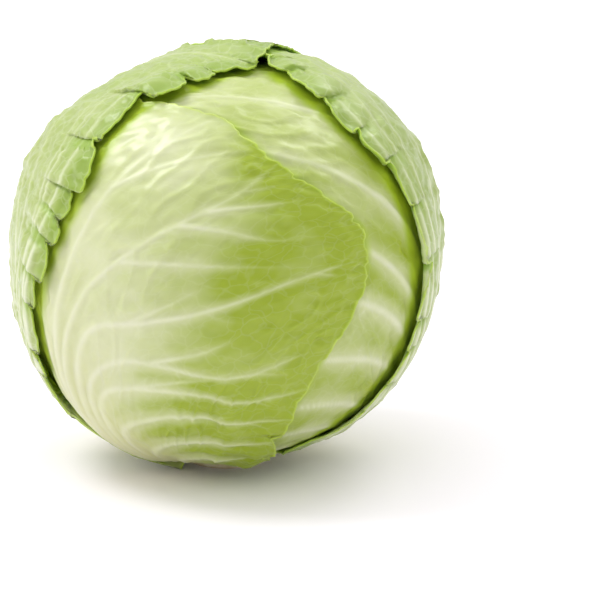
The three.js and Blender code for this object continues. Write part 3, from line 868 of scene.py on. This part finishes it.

# %% [markdown]
# The finishes. All leaves share one pattern, so it is a node group: it reads the skin's attributes and
# its UV map, and puts out a colour, a roughness and a height. Each leaf gets one of two materials, pale or
# green, and that material gives it its colours.

# %% Small helpers for materials
def srgb(code):
    """A colour as it is picked from a screen, turned into the linear numbers that a shader wants."""
    values = [int(code[k : k + 2], 16) / 255 for k in (1, 3, 5)]
    return tuple(v / 12.92 if v <= 0.04045 else ((v + 0.055) / 1.055) ** 2.4 for v in values) + (1.0,)


def node(tree, kind, values=None, **settings):
    """Adds a node. values set its input sockets, or link them where a value is another node's output."""
    made = tree.nodes.new(kind)
    for name, value in settings.items():
        setattr(made, name, value)
    for name, value in (values or {}).items():
        socket = made.inputs[name]
        if isinstance(value, bpy.types.NodeSocket):
            tree.links.new(value, socket)
        else:
            socket.default_value = value
    return made


def ramp(tree, value, low, high):
    """0 below low, 1 above high and a soft ramp between; high may be the smaller one."""
    values = {"Value": value, "From Min": low, "From Max": high}
    return node(tree, "ShaderNodeMapRange", values, interpolation_type="SMOOTHSTEP").outputs[0]


def maths(tree, operation, a, b=0.0, c=0.0):
    """A calculation with two or three values."""
    return node(tree, "ShaderNodeMath", {0: a, 1: b, 2: c}, operation=operation).outputs[0]


def times(tree, a, b):
    return maths(tree, "MULTIPLY", a, b)


def blend_colours(tree, share, a, b):
    """Colour a where share is 0, and colour b where it is 1."""
    mixed = node(tree, "ShaderNodeMix", {0: share, 6: a, 7: b}, data_type="RGBA")
    return mixed.outputs[2]


# %% The pattern that all leaves share
def leaf_pattern():
    """From the inside out: blade and green patches, pale base, net and veins, painted shade in creases and
    under other leaves, rim.
    """
    group = bpy.data.node_groups.new("leaf_pattern", "ShaderNodeTree")
    for name in ("Blade", "Green", "Vein", "Base", "Rim", "Shade"):
        group.interface.new_socket(name, in_out="INPUT", socket_type="NodeSocketColor")
    for name in ("Greenness", "Edge", "Net"):
        group.interface.new_socket(name, in_out="INPUT", socket_type="NodeSocketFloat")
    group.interface.new_socket("Color", in_out="OUTPUT", socket_type="NodeSocketColor")
    group.interface.new_socket("Roughness", in_out="OUTPUT", socket_type="NodeSocketFloat")
    group.interface.new_socket("Height", in_out="OUTPUT", socket_type="NodeSocketFloat")
    given = group.nodes.new("NodeGroupInput").outputs
    uv = node(group, "ShaderNodeTexCoord").outputs["UV"]
    fact = {
        name: node(group, "ShaderNodeAttribute", attribute_name=name).outputs["Fac"]
        for name in ("vein", "halo", "base", "rim", "green", "cover", "crease")
    }

    # Soft patches of greener blade, and a fine net of the smallest veins.
    patches = node(group, "ShaderNodeTexNoise", {"Vector": uv, "Scale": 9.0, "Detail": 3.0}).outputs[0]
    warp = node(group, "ShaderNodeTexNoise", {"Vector": uv, "Scale": 26.0, "Detail": 2.0}).outputs[1]
    bent = node(group, "ShaderNodeMix", {0: 0.035, 4: uv, 5: warp}, data_type="VECTOR").outputs[1]
    cells = node(
        group, "ShaderNodeTexVoronoi", {"Vector": bent, "Scale": 40.0}, feature="DISTANCE_TO_EDGE"
    ).outputs["Distance"]
    net = times(group, ramp(group, cells, 0.08, 0.0), ramp(group, fact["base"], 0.45, 0.15))

    # The blade turns green on its green side, in patches and towards the rim, but less so beside a vein. The
    # green side, to the right and lower on the head, is partly the blade's own colour and partly painted
    # shade.
    green_and_shade_by_side = times(group, fact["green"], 0.75)
    patchy = maths(group, "MULTIPLY_ADD", ramp(group, patches, 0.3, 0.7), 0.35, green_and_shade_by_side)
    edge = times(group, ramp(group, fact["rim"], 24.0, 2.0), given["Edge"])
    share = maths(group, "ADD", times(group, patchy, given["Greenness"]), edge)
    beside = maths(group, "SUBTRACT", 1.0, times(group, ramp(group, fact["halo"], 0.05, 0.7), 0.5))
    colour = blend_colours(group, times(group, share, beside), given["Blade"], given["Green"])
    # Base is the pale base near the stalk, at the bottom of the head. On the pale leaves its colour is also
    # darker and yellower than the blade, as painted shade under the head.
    colour = blend_colours(group, ramp(group, fact["base"], 0.12, 0.62), colour, given["Base"])

    # The veins are pale lines of uneven strength, and weaker on the pale base.
    colour = blend_colours(group, times(group, net, given["Net"]), colour, given["Vein"])
    strength = maths(group, "MULTIPLY_ADD", fact["base"], -0.6, 0.7)
    limits = {"Value": warp, "From Min": 0.3, "From Max": 0.6, "To Min": 0.6}
    uneven = node(group, "ShaderNodeMapRange", limits).outputs[0]
    line = times(group, ramp(group, fact["vein"], 0.1, 0.9), times(group, strength, uneven))
    colour = blend_colours(group, line, colour, given["Vein"])

    # Painted shade: creases and the parts under other leaves are blended towards the Shade colour, a stronger
    # green painted in for the shade there and for the light that comes through the leaves above.
    painted_crease_shade = times(group, ramp(group, fact["crease"], 0.15, 0.9), 0.7)
    under = times(group, ramp(group, fact["cover"], -5.0, 0.5), 0.95)
    colour = blend_colours(group, maths(group, "MAXIMUM", painted_crease_shade, under), colour, given["Shade"])
    at_rim = times(group, ramp(group, fact["rim"], 1.1, 0.2), 0.6)
    colour = blend_colours(group, at_rim, colour, given["Rim"])

    grain = node(group, "ShaderNodeTexNoise", {"Vector": uv, "Scale": 120.0, "Detail": 3.0}).outputs[0]
    rough = node(group, "ShaderNodeMapRange", {"Value": patches, "To Min": 0.33, "To Max": 0.5}).outputs[0]
    height = maths(group, "MULTIPLY_ADD", net, given["Net"], times(group, grain, 0.35))
    out = group.nodes.new("NodeGroupOutput")
    group.links.new(colour, out.inputs["Color"])
    group.links.new(rough, out.inputs["Roughness"])
    group.links.new(height, out.inputs["Height"])
    return group


PATTERN = leaf_pattern()
print("the leaf pattern has", len(PATTERN.nodes), "nodes")

# %% [markdown]
# A cabbage leaf is thin and waxy. Light sinks in and comes out again, so the shader scatters it under the
# surface. A thin coat gives the wax its small glints, and a little sheen is the bloom that makes the
# outer leaves look bluish.

# %% The two leaf finishes
LEAF_SURFACE = {
    "Specular IOR Level": 0.5,
    "Subsurface Weight": 0.5,
    "Subsurface Radius": (0.9, 1.0, 0.45),
    "Subsurface Scale": 0.003,
    "Coat Weight": 0.25,
    "Coat Roughness": 0.2,
    "Sheen Roughness": 0.4,
}


def leaf_material(name, greenness, edge, net, sheen, **colours):
    """A leaf finish with its own colours. net is how strongly the smallest veins show."""
    material = bpy.data.materials.new(name)
    material.use_nodes = True
    tree = material.node_tree
    shader = tree.nodes["Principled BSDF"]
    pattern = tree.nodes.new("ShaderNodeGroup")
    pattern.node_tree = PATTERN
    pattern.inputs["Greenness"].default_value = greenness
    pattern.inputs["Edge"].default_value = edge
    pattern.inputs["Net"].default_value = net
    for socket, code in colours.items():
        pattern.inputs[socket.capitalize()].default_value = srgb(code)
    relief = {"Height": pattern.outputs["Height"], "Strength": 0.35, "Distance": 0.0005}
    bump = node(tree, "ShaderNodeBump", relief)
    tree.links.new(pattern.outputs["Color"], shader.inputs["Base Color"])
    tree.links.new(pattern.outputs["Roughness"], shader.inputs["Roughness"])
    tree.links.new(bump.outputs[0], shader.inputs["Normal"])
    for socket, value in LEAF_SURFACE.items():
        shader.inputs[socket].default_value = value
    shader.inputs["Sheen Weight"].default_value = sheen
    return material


# shade is painted shade: the colour that creases and the parts under other leaves are blended towards.
PALE_FINISH = leaf_material(
    "pale_leaf_finish", greenness=1.15, edge=0.25, net=0.055, sheen=0.03,
    blade="#D3DAAA", green="#94A808", vein="#E8EBD0", base="#CDCE8E", rim="#B6CC52", shade="#A2BC1C",
)
GREEN_FINISH = leaf_material(
    "green_leaf_finish", greenness=0.85, edge=0.45, net=0.12, sheen=0.12,
    blade="#AFBD72", green="#88A234", vein="#E8EDD2", base="#C4CA88", rim="#A9C43C", shade="#8CAE22",
)
FINISHES = {"pale_leaf": PALE_FINISH, "green_leaf": GREEN_FINISH}
for leaf, piece in zip(LEAVES, fine_leaves):
    piece.data.materials.clear()
    piece.data.materials.append(FINISHES[leaf["slot"]])
print("leaf finishes:", ", ".join(sorted(FINISHES)))

# %% [markdown]
# The heart shows only in small gaps between the leaves, and the stalk only at the foot. Both keep their
# solids. The heart is a pale, waxy cream, and the cut stalk is dull, fibrous and a little brown.

# %% The finish of the heart and the stalk
def plain_finish(name, code, other, scale, roughness):
    """Two near colours mixed by noise over the object, with a fine grain."""
    material = bpy.data.materials.new(name)
    material.use_nodes = True
    tree = material.node_tree
    shader = tree.nodes["Principled BSDF"]
    where = node(tree, "ShaderNodeTexCoord").outputs["Object"]
    noise = node(tree, "ShaderNodeTexNoise", {"Vector": where, "Scale": scale, "Detail": 5.0}).outputs[0]
    colour = blend_colours(tree, ramp(tree, noise, 0.35, 0.65), srgb(code), srgb(other))
    tree.links.new(colour, shader.inputs["Base Color"])
    bump = node(tree, "ShaderNodeBump", {"Height": noise, "Strength": 0.4, "Distance": 0.0006})
    tree.links.new(bump.outputs[0], shader.inputs["Normal"])
    shader.inputs["Roughness"].default_value = roughness
    return material


for name, finish in (
    ("heart", plain_finish("heart_finish", "#E4E6B0", "#D5DC94", 60.0, 0.45)),
    ("stalk", plain_finish("stalk_finish", "#E6DCBE", "#D2C29A", 220.0, 0.65)),
):
    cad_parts[name].data.materials.clear()
    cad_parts[name].data.materials.append(finish)
    print(name, "gets", finish.name)

# %% [markdown]
# The studio: a pale floor that runs out of the picture on all sides, a large soft light above and to the
# left, a weaker one to the right, and a bright even sky to fill the shadows. The camera looks slightly
# down from a good distance through a long lens.

# %% The floor
FLOOR_SIDE = 12
FLOOR_DROP = 0.0002  # the floor lies a hair below the stalk
bpy.ops.object.select_all(action="DESELECT")
bpy.ops.mesh.primitive_plane_add(size=FLOOR_SIDE, location=(0, 0, -FLOOR_DROP))
floor = bpy.context.object
floor.name = "floor"
floor_finish = bpy.data.materials.new("floor_finish")
floor_finish.use_nodes = True
floor_shader = floor_finish.node_tree.nodes["Principled BSDF"]
floor_shader.inputs["Base Color"].default_value = (0.98, 0.94, 1.0, 1)
floor_shader.inputs["Roughness"].default_value = 0.9
floor.data.materials.append(floor_finish)
print("floor:", FLOOR_SIDE, "m wide")

# %% The sky and the lamps
world = bpy.data.worlds.new("studio")
world.use_nodes = True
sky = world.node_tree
direction = node(sky, "ShaderNodeTexCoord").outputs["Generated"]
height = node(sky, "ShaderNodeSeparateXYZ", {0: direction}).outputs[2]
brighter_above = {"Value": height, "From Min": 0.0, "To Min": 0.62, "To Max": 1.27}
glow = node(sky, "ShaderNodeMapRange", brighter_above).outputs[0]
sky.links.new(glow, sky.nodes["Background"].inputs["Strength"])
sky.nodes["Background"].inputs["Color"].default_value = (1, 1, 1, 1)
bpy.context.scene.world = world
bpy.context.scene.view_settings.view_transform = "Standard"
LAMP_TARGET = Vector((0, 0, 0.09))


def soft_light(name, place, size, power):
    """A square lamp that points at the head."""
    light = bpy.data.lights.new(name, "AREA")
    light.shape = "SQUARE"
    light.size = size
    light.energy = power
    lamp = bpy.data.objects.new(name, light)
    lamp.location = place
    lamp.rotation_euler = (LAMP_TARGET - Vector(place)).to_track_quat("-Z", "Y").to_euler()
    bpy.context.scene.collection.objects.link(lamp)
    print(name, "at", place)


soft_light("key_light", (-0.75, 0.1, 1.2), 0.5, 7.4)
soft_light("back_light", (0.6, 0.6, 1.1), 0.5, 3)

# %% The camera
PIXELS = 600             # the photograph's side
HEAD_PIXELS = 428        # how wide the head is in it
HEAD_PLACE = (225, 256)  # and where its middle is
HEAD_MM = 185.0
CAMERA_HEIGHT = 15       # degrees above the surface
CAMERA_DISTANCE = 3.0
SENSOR = 36.0
span = PIXELS / HEAD_PIXELS * HEAD_MM * MM
tilt = math.radians(CAMERA_HEIGHT)
back = Vector((0, -math.cos(tilt), math.sin(tilt)))
camera_up = Vector((0, math.sin(tilt), math.cos(tilt)))
aim = Vector(CENTRE * MM) + span / PIXELS * (
    (PIXELS / 2 - HEAD_PLACE[0]) * Vector((1, 0, 0)) + (HEAD_PLACE[1] - PIXELS / 2) * camera_up
)
camera = bpy.data.objects.new("camera", bpy.data.cameras.new("camera"))
camera.data.sensor_width = SENSOR
camera.data.lens = SENSOR * CAMERA_DISTANCE / span
camera.location = aim + back * CAMERA_DISTANCE
camera.rotation_euler = (-back).to_track_quat("-Z", "Y").to_euler()
bpy.context.scene.collection.objects.link(camera)
bpy.context.scene.camera = camera
print("camera:", CAMERA_DISTANCE, "m away, lens", round(camera.data.lens), "mm")
